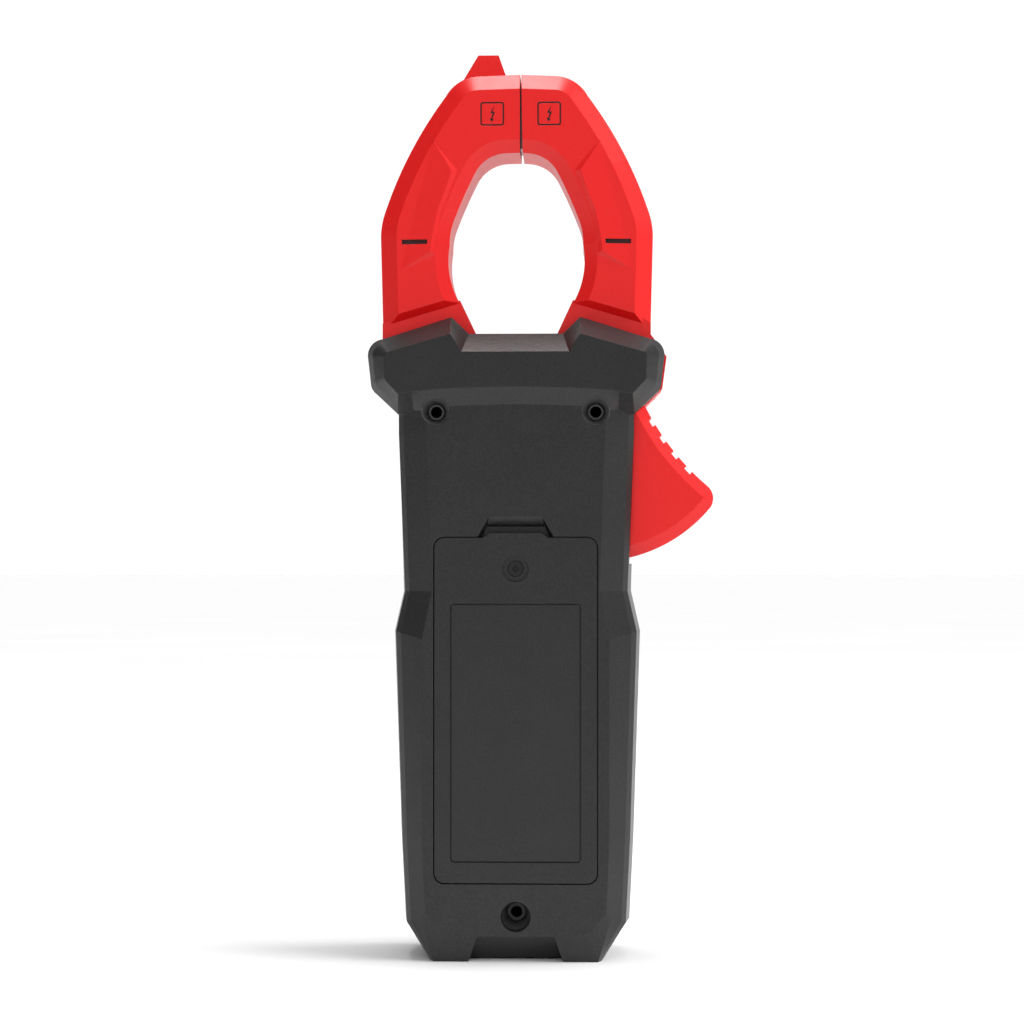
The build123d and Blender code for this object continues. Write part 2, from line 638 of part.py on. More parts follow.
def counterbore(x, z, floor_y, low_r, high_r):
    """Deep tapered recess over a case screw."""
    depth = REAR_FLAT_Y - floor_y
    cone = Solid.make_cone(low_r, high_r, depth, Plane((x, floor_y, z), z_dir=(0, 1, 0)))
    return fuse(cone, disc(x, z, high_r, REAR_FLAT_Y, REAR_FLAT_Y + 10))


def socket_openings():
    return [post(sign * SOCKET_X, 0, SOCKET_OPENING_R, -1, FLOOR_Z + 0.01) for sign in (-1, 1)]


def rear_cover():
    solid = cut(cover_outer(REAR_SIDE_Y, REAR_FLAT_Y), cover_cavity(REAR_SIDE_Y, REAR_FLAT_Y))
    inner_y = LEVER_REAR_Y + SLOT_GAP
    solid = cut(solid, prism(SHOULDER_POCKET, -1, inner_y), prism(LEVER_SLOT, -1, inner_y),
                prism(FIXED_SLOT, -1, inner_y))
    ledge = rounded_box(-22.2, 22.2, 10.8, 13.4, 16.4, 104.0, 2.0)
    ledge = ledge & prism(inset(mirrored(BODY_FLAT), 0.4), 0, 20)
    solid = solid + ledge
    seat_half = DOOR_HALF + DOOR_GAP
    door_seat = rounded_box(-seat_half, seat_half, REAR_FLAT_Y - DOOR_THICK - 0.1, 20,
                            DOOR_LOW_Z - DOOR_GAP, DOOR_HIGH_Z + DOOR_GAP, DOOR_R + DOOR_GAP)
    bay = rounded_box(-17.3, 17.3, 5, 20, 22.4, 88.6, 1.5)
    solid = cut(solid, door_seat, bay, *finger_notch())
    solid = fuse(solid, disc(0, DOOR_SCREW_Z, 3.4, 4.0, 11.0))
    solid = cut(solid, disc(0, DOOR_SCREW_Z, 1.1, 3.0, 13.5))
    for x, z, *recess in screw_places():
        low_y = inner_y if z > DIAL_Z else 0
        boss = disc(x, z, UPPER_BOSS_R, low_y, REAR_FLAT_Y - WALL + 0.2)
        solid = fuse(solid, boss)
        solid = cut(solid, counterbore(x, z, *recess), disc(x, z, SCREW_HOLE_R, -1, 30))
    key_slots = [box(x - 1.6, x + 1.6, 10, 13.5, 19.6, 21.2) for x in (-12, 12)]
    return cut(solid, *foot_recess(), *socket_openings(), *key_slots)


def foot_recess():
    """Shallow notch with a sloping floor at the bottom of the battery side."""
    outline = prism([(-11.6, -1), (11.6, -1), (9.2, 6.1), (-9.2, 6.1)], 0, 30)
    slope = Wire.make_polygon([(-20, 13.8, 6.1), (-20, 8.6, -0.9), (-20, 30, -0.9), (-20, 30, 6.1)],
                              close=True)
    return [Solid.extrude(Face(slope), Vector(40, 0, 0)) & outline,
            box(-11.4, 11.4, 6.0, 16, -1, 0.5)]


def finger_notch():
    """Bevelled notch above the door, with a deeper slot in it for a fingertip."""
    mouth = [(-9.6, 100.6), (9.6, 100.6), (6.4, 106.1), (-6.4, 106.1)]
    throat = [(-8.6, 100.6), (8.6, 100.6), (6.9, 104.1), (-6.9, 104.1)]
    bevel = layers((NOTCH_THROAT_Y, throat), (REAR_FLAT_Y, mouth))
    return [bevel, prism(throat, NOTCH_FLOOR_Y, NOTCH_THROAT_Y)]


def front_cover():
    solid = cut(cover_outer(FRONT_SIDE_Y, FRONT_FLAT_Y), cover_cavity(FRONT_SIDE_Y, FRONT_FLAT_Y))
    inner_y = LEVER_FRONT_Y - SLOT_GAP
    solid = cut(solid, prism(SHOULDER_POCKET, inner_y, 1), prism(LEVER_SLOT, inner_y, 1),
                prism(FIXED_SLOT, inner_y, 1))
    for x, z, *_ in screw_places():
        low_y = FRONT_FLAT_Y + WALL - 0.2
        high_y = inner_y if z > 100 else 0
        solid = fuse(solid, disc(x, z, UPPER_BOSS_R, low_y, high_y))
        solid = cut(solid, disc(x, z, SCREW_HOLE_R, low_y + 0.4, 1))
    solid = fuse(solid, disc(PIVOT_X, PIVOT_Z, 6.2, -13.9, inner_y))
    solid = cut(solid, disc(PIVOT_X, PIVOT_Z, SCREW_HOLE_R, -13.4, 1),
                disc(PIVOT_X - SPRING_R, PIVOT_Z, SPRING_WIRE_R + 0.08, -10.6, 1))
    window = rounded_box(-20.2, 20.2, -20, -10, 27.6, 63.4, 2.0)
    dial_hole = disc(0, DIAL_Z, DIAL_HUB_R + 0.08, -20, -10)
    dial_seat = disc(0, DIAL_Z, DIAL_PLATE_R + 0.1, -20, FRONT_FLAT_Y + DIAL_PLATE_T)
    keys = [key_hole(x) for x in KEY_XS]
    return cut(solid, window, dial_hole, dial_seat, *keys, *socket_openings())


def key_hole(x):
    half_w = KEY_W / 2 + KEY_GAP
    half_h = KEY_H / 2 + KEY_GAP
    return rounded_box(x - half_w, x + half_w, -20, -10, KEY_Z - half_h, KEY_Z + half_h, 1.2)


def case_screws():
    """Three screws through the covers; the heads sit on the counterbore floors."""
    return [screw(x, z, floor_y, low_r - 0.15, SCREW_HEAD_T, -12.6, SCREW_R, SCREW_SOCKET_R,
                  SCREW_HEAD_T - 0.2) for x, z, floor_y, low_r, _ in screw_places()]


# ---- door, battery bay --------------------------------------------------------------------
def battery_door():
    y0 = REAR_FLAT_Y - DOOR_THICK
    solid = rounded_box(-DOOR_HALF, DOOR_HALF, y0, REAR_FLAT_Y, DOOR_LOW_Z, DOOR_HIGH_Z, DOOR_R)
    tongue = prism([(-7.9, 101.0), (7.9, 101.0), (6.2, 102.3), (-6.2, 102.3)], y0, REAR_FLAT_Y)
    solid = fuse(solid, tongue)
    label = label_block(0, REAR_FLAT_Y - 0.2)
    groove = label_block(0, REAR_FLAT_Y - 0.6) - label_block(LABEL_LINE, 0)
    solid = cut(solid, label, groove, disc(0, DOOR_SCREW_Z, 3.2, REAR_FLAT_Y - 0.9, 20),
                disc(0, DOOR_SCREW_Z, 1.9, y0 + 0.5, 20), disc(0, DOOR_SCREW_Z, 1.1, 5, 20))
    prongs = [box(x - 1.5, x + 1.5, 10.9, y0 + 0.01, 19.7, 21.1) for x in (-12, 12)]
    ribs = [box(x - 0.6, x + 0.6, y0 - 1.2, y0 + 0.01, 24, 84) for x in (-16.4, 16.4)]
    return fuse(solid, *prongs, *ribs)


def label_block(inside, low_y):
    """Block over the door's label area, drawn in from its border."""
    half = LABEL_HALF - inside
    return rounded_box(-half, half, low_y, 20, LABEL_LOW_Z + inside, LABEL_HIGH_Z - inside,
                       1.0 - inside)


def door_screw():
    head_y = REAR_FLAT_Y - DOOR_THICK + 0.5
    return screw(0, DOOR_SCREW_Z, head_y, 1.8, 0.7, 5.2, 1.0, 0.7, 0.5)


def battery_tray():
    solid = box(-18.6, 18.6, -1.6, 10.6, 26.6, 84.4)
    pocket = box(-17.2, 17.2, -0.2, 11, 28.0, 83.0)
    solid = solid - pocket
    dividers = [box(x - 0.12, x + 0.12, -0.2, 3.0, 34, 76) for x in (-5.5, 5.5)]
    return fuse(solid, *dividers)


def cell(x, up):
    """Round cell with its nub at one end."""
    low = CELL_LOW_Z if up else CELL_LOW_Z + 0.8
    body = post(x, CELL_Y, CELL_R, low, low + CELL_LEN)
    body = body.chamfer(0.4, 0.4, body.edges().filter_by(GeomType.CIRCLE))
    nub_z = low + CELL_LEN if up else low - 0.8
    return body + post(x, CELL_Y, 1.9, nub_z, nub_z + 0.8)


def coil_spring(x, y, low_z, high_z, radius, wire, turns):
    """Open coil along Z."""
    path = Edge.make_helix((high_z - low_z) / turns, high_z - low_z, radius)
    section = Face(Wire.make_circle(wire, Plane(path @ 0, z_dir=path % 0)))
    return Solid.sweep(section, Wire([path])).moved(Location((x, y, low_z)))


def save_battery_bay():
    save("battery_tray", battery_tray())
    directions = (True, False, True)
    save("battery_cells", *[cell(x, up) for x, up in zip(CELL_XS, directions)])
    top = CELL_LOW_Z + CELL_LEN + 0.8
    springs = []
    plates = []
    for x, up in zip(CELL_XS, directions):
        low, high = (28.5, CELL_LOW_Z) if up else (top, 82.5)
        springs.append(coil_spring(x, CELL_Y, low + 0.45, high - 0.45, 2.6, 0.4, 3))
        plates.append(box(x - 4.4, x + 4.4, 1.2, 9.4, 28.0, 28.5))
        plates.append(box(x - 4.4, x + 4.4, 1.2, 9.4, 82.5, 83.0))
        far = (top, 82.5) if up else (28.5, CELL_LOW_Z)
        plates.append(box(x - 2.2, x + 2.2, 3.0, 7.2, far[0], far[1]))
    save("battery_springs", *springs)
    save("battery_plates", fuse(plates[0], *[p for p in plates[1:] if p.center().Z < 50]),
         fuse(plates[1], *[p for p in plates[1:] if p.center().Z > 50]))
    save("door_pad", box(-13, 13, 10.8, REAR_FLAT_Y - DOOR_THICK, 44, 66))


# ---- electronics --------------------------------------------------------------------------
def main_board():
    outline = [(-21, 25.0), (21, 25.0), (22.4, 76), (20.4, 88), (19.0, 124.4), (-19.0, 124.4),
               (-20.4, 88), (-22.4, 76)]
    solid = prism(outline, BOARD_FRONT_Y, BOARD_REAR_Y)
    holes = [disc(x, z, 1.05, -20, 0) for x, z in board_screw_places()]
    return cut(solid, *holes)


def board_screw_places():
    return [(-18.0, 68.5), (18.0, 68.5), (-16.0, 120.8), (16.0, 120.8)]


def save_electronics():
    save("main_board", main_board())
    save("board_screws", *[fuse(disc(x, z, 1.9, BOARD_REAR_Y, BOARD_REAR_Y + 1.2),
                                disc(x, z, 1.05, -13.2, BOARD_REAR_Y))
                           for x, z in board_screw_places()])
    save("board_posts", *[disc(x, z, 2.4, -13.8, BOARD_FRONT_Y) - disc(x, z, 1.05, -13.2, 0)
                          for x, z in board_screw_places()])
    chips = [box(-6, 6, BOARD_REAR_Y, BOARD_REAR_Y + 1.6, 58, 70),
             box(10, 16, BOARD_REAR_Y, BOARD_REAR_Y + 1.2, 74, 78.5),
             box(-16, -11, BOARD_REAR_Y, BOARD_REAR_Y + 1.2, 48, 56)]
    save("measuring_chips", *chips)
    save("buzzer", disc(12, 96, 6.0, BOARD_REAR_Y, BOARD_REAR_Y + 3.0)
         - disc(12, 96, 1.0, BOARD_REAR_Y + 2, 0))
    save("switch_contacts", *[disc(0, DIAL_Z, outer, BOARD_FRONT_Y - 0.1, BOARD_FRONT_Y)
                              - disc(0, DIAL_Z, inner, -20, 0)
                              for inner, outer in CONTACT_RINGS])
    save_display()
    save_keys()
    save_sockets()
    save_leads()


def save_display():
    save("display_window", rounded_box(-20.05, 20.05, FRONT_FLAT_Y + 0.1, -14.6, 27.75, 63.25, 1.9))
    bezel = rounded_box(-20.8, 20.8, -13.75, -11.4, 26.4, 64.6, 1.0)
    save("display_frame", cut(bezel, box(-19.0, 19.0, -20, 0, 28.6, 62.4)))
    save("display_glass", box(-18.9, 18.9, -14.5, -12.7, 31.0, 62.2))
    save("light_guide", box(-18.6, 18.6, -12.65, -11.5, 31.6, 60.6))
    save("zebra_strip", box(-17.5, 17.5, -12.7, BOARD_FRONT_Y, 28.8, 30.8))


def save_keys():
    for x, name in zip(KEY_XS, KEY_NAMES):
        cap = rounded_box(x - KEY_W / 2, x + KEY_W / 2, -17.1, -13.75,
                          KEY_Z - KEY_H / 2, KEY_Z + KEY_H / 2, 1.1)
        top = cap.edges().sort_by(Axis.Y)[:8]
        cap = cap.chamfer(0.35, 0.35, top)
        foot = box(x - KEY_W / 2 - KEY_FLANGE, x + KEY_W / 2 + KEY_FLANGE, -13.75, -13.15,
                   KEY_Z - KEY_H / 2 - KEY_FLANGE, KEY_Z + KEY_H / 2 + KEY_FLANGE)
        save(f"key_{name}", cap + foot)
    mat = box(-20.5, 20.5, -11.9, BOARD_FRONT_Y, KEY_Z - 5, KEY_Z + 5)
    domes = [disc(x, KEY_Z, 2.0, -12.45, -11.9) for x in KEY_XS]
    save("key_mat", fuse(mat, *domes))


def save_sockets():
    sockets = []
    for sign in (-1, 1):
        x = sign * SOCKET_X
        tube = post(x, 0, SOCKET_R, SOCKET_LOW_Z, SOCKET_HIGH_Z + 1.4)
        sockets.append(tube - post(x, 0, SOCKET_BORE_R, 0, SOCKET_HIGH_Z))
    save("input_sockets", *sockets)
    block = box(-17.2, 17.2, -7.0, 7.0, FLOOR_Z + 0.05, 20.0)
    block = block - disc(0, LOWER_SCREW_Z, UPPER_BOSS_R + 0.2, -20, 20)
    for sign, name in ((-1, "red"), (1, "black")):
        x = sign * SOCKET_X
        block = block - post(x, 0, SOCKET_R, 0, 30)
        block = block - post(x, 0, COLLAR_STEM_R + 0.05, 0, COLLAR_HIGH_Z + 0.1)
        collar = fuse(post(x, 0, COLLAR_R, COLLAR_LOW_Z, FLOOR_Z),
                      post(x, 0, COLLAR_STEM_R, FLOOR_Z, COLLAR_HIGH_Z))
        save(f"socket_collar_{name}", collar - post(x, 0, SOCKET_R + 0.02, 0, 30))
    save("socket_block", block)
    links = []
    for sign in (-1, 1):
        x = sign * SOCKET_X
        top = SOCKET_HIGH_Z + 1.4
        links.append(fuse(box(x - 1.5, x + 1.5, -8.9, 1.5, top, top + 0.6),
                          box(x - 1.5, x + 1.5, BOARD_REAR_Y, -8.9, top, 29.0)))
    save("socket_links", *links)


def save_leads():
    """Two enamelled leads from the winding down to the board, held along their whole length."""
    leads = []
    for x in (-1.5, 3.5):
        route = [(x, -6.0, 136.9), (x, -8.4, 133.9), (x, -8.6, 128.4), (x, -8.95, 122.0)]
        path = FilletPolyline(*route, radius=[1.2, 4.0])
        start = Plane(route[0], z_dir=(Vector(*route[1]) - Vector(*route[0])))
        leads.append(Solid.sweep(Face(Wire.make_circle(0.45, start)), Wire(path.edges())))
    save("coil_leads", *leads)


# ---- rotary switch ------------------------------------------------------------------------
def save_dial():
    disc_y = FRONT_FLAT_Y + 0.1
    knob = disc(0, DIAL_Z, KNOB_R, disc_y - 1.5, disc_y - 0.35)
    knob = knob.chamfer(0.5, 0.5, knob.edges().filter_by(GeomType.CIRCLE).sort_by(Axis.Y)[:1])
    grip = prism([(-3.6, DIAL_Z + 14.6), (3.6, DIAL_Z + 14.6), (4.4, DIAL_Z), (3.6, DIAL_Z - 14.6),
                  (-3.6, DIAL_Z - 14.6), (-4.4, DIAL_Z)], disc_y - 4.4, disc_y - 1.4)
    grip = grip.chamfer(0.8, 0.8, grip.edges().filter_by_position(Axis.Y, disc_y - 4.5,
                                                                 disc_y - 4.3))
    pointer = box(-0.45, 0.45, disc_y - 5, disc_y - 4.1, DIAL_Z + 6, DIAL_Z + 13.4)
    hub = disc(0, DIAL_Z, DIAL_HUB_R, disc_y - 0.4, -13.3)
    knob = turned(cut(fuse(knob, grip), pointer))
    save("dial_knob", fuse(knob, hub))
    save("dial_pointer", turned(box(-0.45, 0.45, disc_y - 4.5, disc_y - 4.1, DIAL_Z + 6,
                                    DIAL_Z + 13.4)))
    carrier = disc(0, DIAL_Z, 15.2, -13.3, -12.0)
    save("wiper_carrier", carrier)
    wipers = [box(a - 0.8, a + 0.8, -12.0, -11.22, DIAL_Z - 1.5, DIAL_Z + 1.5)
              for a in [(inner + outer) / 2 for inner, outer in CONTACT_RINGS]]
    save("wipers", *wipers)
    plate = disc(0, DIAL_Z, DIAL_PLATE_R, FRONT_FLAT_Y, FRONT_FLAT_Y + DIAL_PLATE_T)
    save("dial_plate", plate - disc(0, DIAL_Z, DIAL_HUB_R + 0.1, -20, 0))


def turned(shape):
    """Knob at its off position."""
    return shape.rotate(Axis((0, 0, DIAL_Z), (0, 1, 0)), -DIAL_OFF_DEG)


# ---- pivot --------------------------------------------------------------------------------
def save_pivot():
    bush = disc(PIVOT_X, PIVOT_Z, BUSH_R, LEVER_FRONT_Y - SLOT_GAP, LEVER_REAR_Y + SLOT_GAP)
    save("pivot_bush", bush - disc(PIVOT_X, PIVOT_Z, SCREW_HOLE_R, -20, 20))
    save("return_spring", return_spring())


def return_spring():
    """Torsion spring around the bush: one leg lies in the lever, one plugs into the cover."""
    coil_y = LEVER_FRONT_Y + 2.6
    path = Edge.make_helix(SPRING_PITCH, SPRING_PITCH * SPRING_TURNS, SPRING_R)
    section = Face(Wire.make_circle(SPRING_WIRE_R, Plane(path @ 0, z_dir=path % 0)))
    coil = Solid.sweep(section, Wire([path])).rotate(Axis.X, 90)
    coil = coil.moved(Location((PIVOT_X, coil_y, PIVOT_Z)))
    lever_leg = post(PIVOT_X + SPRING_R, coil_y, SPRING_WIRE_R, PIVOT_Z, PIVOT_Z + 6.8)
    cover_leg = disc(PIVOT_X - SPRING_R, PIVOT_Z, SPRING_WIRE_R, -10.4,
                     coil_y - SPRING_PITCH * SPRING_TURNS)
    return fuse(coil, lever_leg, cover_leg)


# ---- write every node ---------------------------------------------------------------------
def main():
    save("rear_cover", rear_cover())
    save("front_cover", front_cover())
    save("case_screws", *case_screws())
    fixed_jaw()
    lever()
    save_pivot()
    save("battery_door", battery_door())
    save("door_screw", door_screw())
    save_battery_bay()
    save_electronics()
    save_dial()


main()
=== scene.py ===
"""Looks of the clamp meter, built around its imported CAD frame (metres, +Z up, display side -Y)."""
import json
import math

import bmesh
import bpy
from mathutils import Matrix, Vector


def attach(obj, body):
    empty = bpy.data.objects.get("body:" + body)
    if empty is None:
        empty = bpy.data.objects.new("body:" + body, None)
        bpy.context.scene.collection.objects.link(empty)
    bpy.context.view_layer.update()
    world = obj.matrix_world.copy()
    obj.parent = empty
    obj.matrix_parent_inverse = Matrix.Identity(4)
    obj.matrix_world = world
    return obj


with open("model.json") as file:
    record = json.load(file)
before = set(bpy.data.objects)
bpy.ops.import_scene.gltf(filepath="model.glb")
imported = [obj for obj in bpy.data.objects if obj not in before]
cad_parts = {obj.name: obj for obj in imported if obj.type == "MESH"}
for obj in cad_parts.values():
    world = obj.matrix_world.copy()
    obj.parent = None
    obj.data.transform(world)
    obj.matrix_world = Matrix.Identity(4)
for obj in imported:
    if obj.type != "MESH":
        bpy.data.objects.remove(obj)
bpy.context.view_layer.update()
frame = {"nodes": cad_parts, "record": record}

MM = 0.001

# Places on the CAD frame that a material needs, in mm
CASE_SCREWS = ((-19.1, 131.3), (19.1, 131.3), (0.0, 10.9))     # their axes, as (x, z)
RECESS_R = 3.3                # the recesses around the case screws
DRIVE_R = 1.36                # the drive sockets in their heads
REAR_FROM_Y = 2.0             # the heads lie on the battery side, beyond this depth
GROOVE_X, GROOVE_Y, GROOVE_Z = 24.5, 8.46, 172.45      # floor of the short groove in each jaw
GROOVE_HALF_X, GROOVE_HALF_Z = 3.1, 0.6
GROOVE_FLOOR_TOL = 0.5

# Plastic surfaces
SPECKLE_MM, PATCH_MM, SHEEN_MM = 0.45, 14.0, 6.0
SPECKLE_SHARE = 0.75          # the rest of the colour's variation comes from the patches
COARSE_GRAIN = 3.1            # the coarse grain is this many times as wide as the fine one


# ---- node helpers -------------------------------------------------------------------------
class Nodes:
    """Small builder for one material's node tree."""

    def __init__(self, name):
        self.material = bpy.data.materials.new(name)
        self.material.use_nodes = True
        self.tree = self.material.node_tree
        self.shader = self.tree.nodes["Principled BSDF"]
        self.place = self.add("ShaderNodeTexCoord").outputs["Object"]

    def add(self, kind, **inputs):
        node = self.tree.nodes.new(kind)
        for key, value in inputs.items():
            self.feed(node.inputs[key.replace("_", " ")], value)
        return node

    def feed(self, socket, value):
        """Link an output to the socket, or set the socket's own value."""
        if isinstance(value, bpy.types.NodeSocket):
            self.tree.links.new(value, socket)
        else:
            socket.default_value = value

    def set(self, **values):
        """Set the shader's own sockets, or link outputs to them."""
        for key, value in values.items():
            self.feed(self.shader.inputs[key.replace("_", " ")], value)

    def noise(self, size_mm, detail=2.0, rough=0.5, stretch=None):
        """Noise whose features are about size_mm wide."""
        place = self.place
        if stretch:
            mapping = self.add("ShaderNodeMapping", Vector=place, Scale=stretch)
            place = mapping.outputs["Vector"]
        node = self.add("ShaderNodeTexNoise", Vector=place, Scale=1 / (size_mm * MM),
                        Detail=detail, Roughness=rough)
        return node.outputs["Fac"]

    def ramp(self, fac, low, high, start=0.3, end=0.7):
        """Colour ramp from low to high."""
        node = self.add("ShaderNodeValToRGB", Fac=fac)
        ends = node.color_ramp.elements
        for element, position, colour in zip(ends, (start, end), (low, high)):
            element.position = position
            element.color = (*colour, 1)
        return node.outputs["Color"]

    def between(self, fac, low, high):
        """Number between low and high as fac goes from 0 to 1."""
        node = self.add("ShaderNodeMapRange", Value=fac, To_Min=low, To_Max=high)
        return node.outputs["Result"]

    def rounded(self, radius_mm):
        """Shading normal with softened edges."""
        node = self.add("ShaderNodeBevel", Radius=radius_mm * MM)
        node.samples = 6
        return node.outputs["Normal"]

    def split(self, axis):
        return self.add("ShaderNodeSeparateXYZ", Vector=self.place).outputs[axis]

    def calculate(self, kind, operation, values):
        node = self.add(kind)
        node.operation = operation
        for socket, value in zip(node.inputs, values):
            self.feed(socket, value)
        return node

    def math(self, operation, *values):
        return self.calculate("ShaderNodeMath", operation, values).outputs["Value"]

    def vector_math(self, operation, *values):
        return self.calculate("ShaderNodeVectorMath", operation, values).outputs

    def away(self, value, centre):
        """Distance of a number from a centre."""
        return self.math("ABSOLUTE", self.math("SUBTRACT", value, centre))

    def near_screws(self, radius_mm):
        """1 within a radius of the case screws' axes on the battery side, else 0."""
        nearest = None
        for x, z in CASE_SCREWS:
            offset = self.vector_math("SUBTRACT", self.place, (x * MM, 0, z * MM))["Vector"]
            flat = self.vector_math("MULTIPLY", offset, (1, 0, 1))["Vector"]
            distance = self.vector_math("LENGTH", flat)["Value"]
            nearest = distance if nearest is None else self.math("MINIMUM", nearest, distance)
        rear = self.math("GREATER_THAN", self.split("Y"), REAR_FROM_Y * MM)
        return self.math("MULTIPLY", self.math("LESS_THAN", nearest, radius_mm * MM), rear)

    def mix(self, fac, first, second):
        """Mix of a linked colour and a plain one; fac 0 gives the first."""
        node = self.add("ShaderNodeMix")
        node.data_type = "RGBA"
        self.feed(node.inputs["Factor"], fac)
        self.feed(node.inputs[6], first)
        self.feed(node.inputs[7], (*second, 1))
        return node.outputs[2]

    def bump(self, height, strength, depth_mm, normal=None):
        node = self.add("ShaderNodeBump", Height=height, Strength=strength,
                        Distance=depth_mm * MM)
        if normal is not None:
            self.feed(node.inputs["Normal"], normal)
        return node.outputs["Normal"]


# ---- materials ----------------------------------------------------------------------------
def grained(name, low, high, roughness, grain_mm, depth_mm, edge_mm=0.25, strength=0.5):
    """Nodes of a moulded plastic with spark-eroded grain and softened edges; and its colour."""
    n = Nodes(name)
    patches = n.math("MULTIPLY", n.noise(PATCH_MM, 3.0), 1 - SPECKLE_SHARE)
    speckle = n.math("MULTIPLY_ADD", n.noise(SPECKLE_MM, 1.0), SPECKLE_SHARE, patches)
    colour = n.ramp(speckle, low, high, 0.4, 0.62)
    grain = n.math("ADD", n.noise(grain_mm, 3.0, 0.6), n.noise(grain_mm * COARSE_GRAIN, 2.0))
    n.set(Base_Color=colour,
          Roughness=n.between(n.noise(SHEEN_MM, 4.0), roughness - 0.04, roughness + 0.05),
          Normal=n.bump(grain, strength, depth_mm, n.rounded(edge_mm)))
    return n, colour


def plastic(*arguments, **named):
    return grained(*arguments, **named)[0].material


def case_plastic():
    """The covers' plastic; painted light: its colour is made lighter inside the screw recesses,
    standing in for the light that the deep recesses shut out.
    """
    n, colour = grained("case_plastic", (0.0065, 0.0065, 0.0067), (0.0125, 0.0125, 0.0128),
                        roughness=0.36, grain_mm=0.38, depth_mm=0.07)
    # Painted light: lighter colour within the recess radius of each case screw, standing in for light
    # the recess walls would lack.
    n.set(Base_Color=n.mix(n.near_screws(RECESS_R), colour, (0.10, 0.10, 0.101)))
    return n.material


def red_plastic():
    """The jaws' and trigger's plastic; the floors of the two short jaw grooves are coloured dark."""
    n, colour = grained("red_plastic", (0.66, 0.004, 0.004), (0.70, 0.005, 0.005),
                        roughness=0.36, grain_mm=0.30, depth_mm=0.012)
    sideways = n.away(n.math("ABSOLUTE", n.split("X")), GROOVE_X * MM)
    upwards = n.away(n.split("Z"), GROOVE_Z * MM)
    inside = n.math("MULTIPLY", n.math("LESS_THAN", sideways, GROOVE_HALF_X * MM),
                    n.math("LESS_THAN", upwards, GROOVE_HALF_Z * MM))
    floor = n.math("COMPARE", n.split("Y"), GROOVE_Y * MM, GROOVE_FLOOR_TOL * MM)
    # Darker colour on the floors of the two short jaw grooves.
    dark_groove_floors = n.mix(n.math("MULTIPLY", inside, floor), colour, (0.045, 0.008, 0.008))
    n.set(Base_Color=dark_groove_floors, Specular_IOR_Level=0.42)
    return n.material


def screw_black():
    """Black oxide screw heads; painted light makes the heads lighter inside the recesses, and painted
    shade makes the drive socket near-black with no specular.
    """
    n = Nodes("black_steel")
    head = n.ramp(n.noise(1.5, 4.0), (0.006, 0.006, 0.006), (0.010, 0.010, 0.010))
    # Painted light: inside the recesses the heads are coloured lighter, standing in for the light
    # their depth shuts out.
    head = n.mix(n.near_screws(RECESS_R), head, (0.085, 0.085, 0.086))
    # Painted shade: the drive socket is coloured near-black and loses its specular, standing in for
    # the shade inside it.
    socket = n.near_screws(DRIVE_R)
    n.set(Base_Color=n.mix(socket, head, (0.001, 0.001, 0.001)),
          Specular_IOR_Level=n.between(socket, 0.4, 0.0),
          Roughness=n.between(n.noise(0.5, 4.0), 0.45, 0.6),
          Normal=n.bump(n.noise(0.3, 3.0), 0.3, 0.015, n.rounded(0.1)))
    return n.material


def metal(name, low, high, roughness, stretch=(1, 1, 1)):
    """Worn metal with fine directional marks."""
    n = Nodes(name)
    marks = n.noise(0.5, 5.0, 0.6, stretch)
    n.set(Base_Color=n.ramp(n.noise(4.0, 4.0), low, high), Metallic=1.0,
          Roughness=n.between(marks, roughness - 0.08, roughness + 0.12),
          Normal=n.bump(marks, 0.3, 0.02, n.rounded(0.12)))
    return n.material


def plain_print(name, low, high, roughness=0.5):
    """Printed ink or film: nearly even, with a slight texture."""
    n = Nodes(name)
    n.set(Base_Color=n.ramp(n.noise(1.2, 3.0), low, high),
          Roughness=n.between(n.noise(0.8, 3.0), roughness - 0.05, roughness + 0.05),
          Normal=n.bump(n.noise(0.15, 2.0), 0.15, 0.01))
    return n.material


def clear_window():
    n = Nodes("window_clear")
    n.set(Base_Color=(0.9, 0.95, 0.95, 1), IOR=1.5, Transmission_Weight=1.0,
          Roughness=n.between(n.noise(9.0, 3.0), 0.015, 0.05))
    return n.material


def board():
    """Green solder mask with lighter lines where the copper tracks show through."""
    n = Nodes("board_laminate")
    tracks = n.add("ShaderNodeTexBrick", Vector=n.place, Scale=320.0,
                   Color1=(0.010, 0.10, 0.035, 1), Color2=(0.012, 0.12, 0.045, 1),
                   Mortar=(0.03, 0.22, 0.08, 1))
    n.set(Base_Color=tracks.outputs["Color"], Roughness=n.between(n.noise(3.0), 0.25, 0.4),
          Normal=n.bump(tracks.outputs["Fac"], 0.3, 0.03))
    return n.material


def foam():
    n = Nodes("foam")
    cells = n.add("ShaderNodeTexVoronoi", Vector=n.place, Scale=1 / (0.5 * MM))
    n.set(Base_Color=n.ramp(cells.outputs["Distance"], (0.01, 0.01, 0.01), (0.05, 0.05, 0.05)),
          Roughness=n.between(n.noise(1.0), 0.85, 0.98),
          Normal=n.bump(cells.outputs["Distance"], 0.8, 0.2))
    return n.material


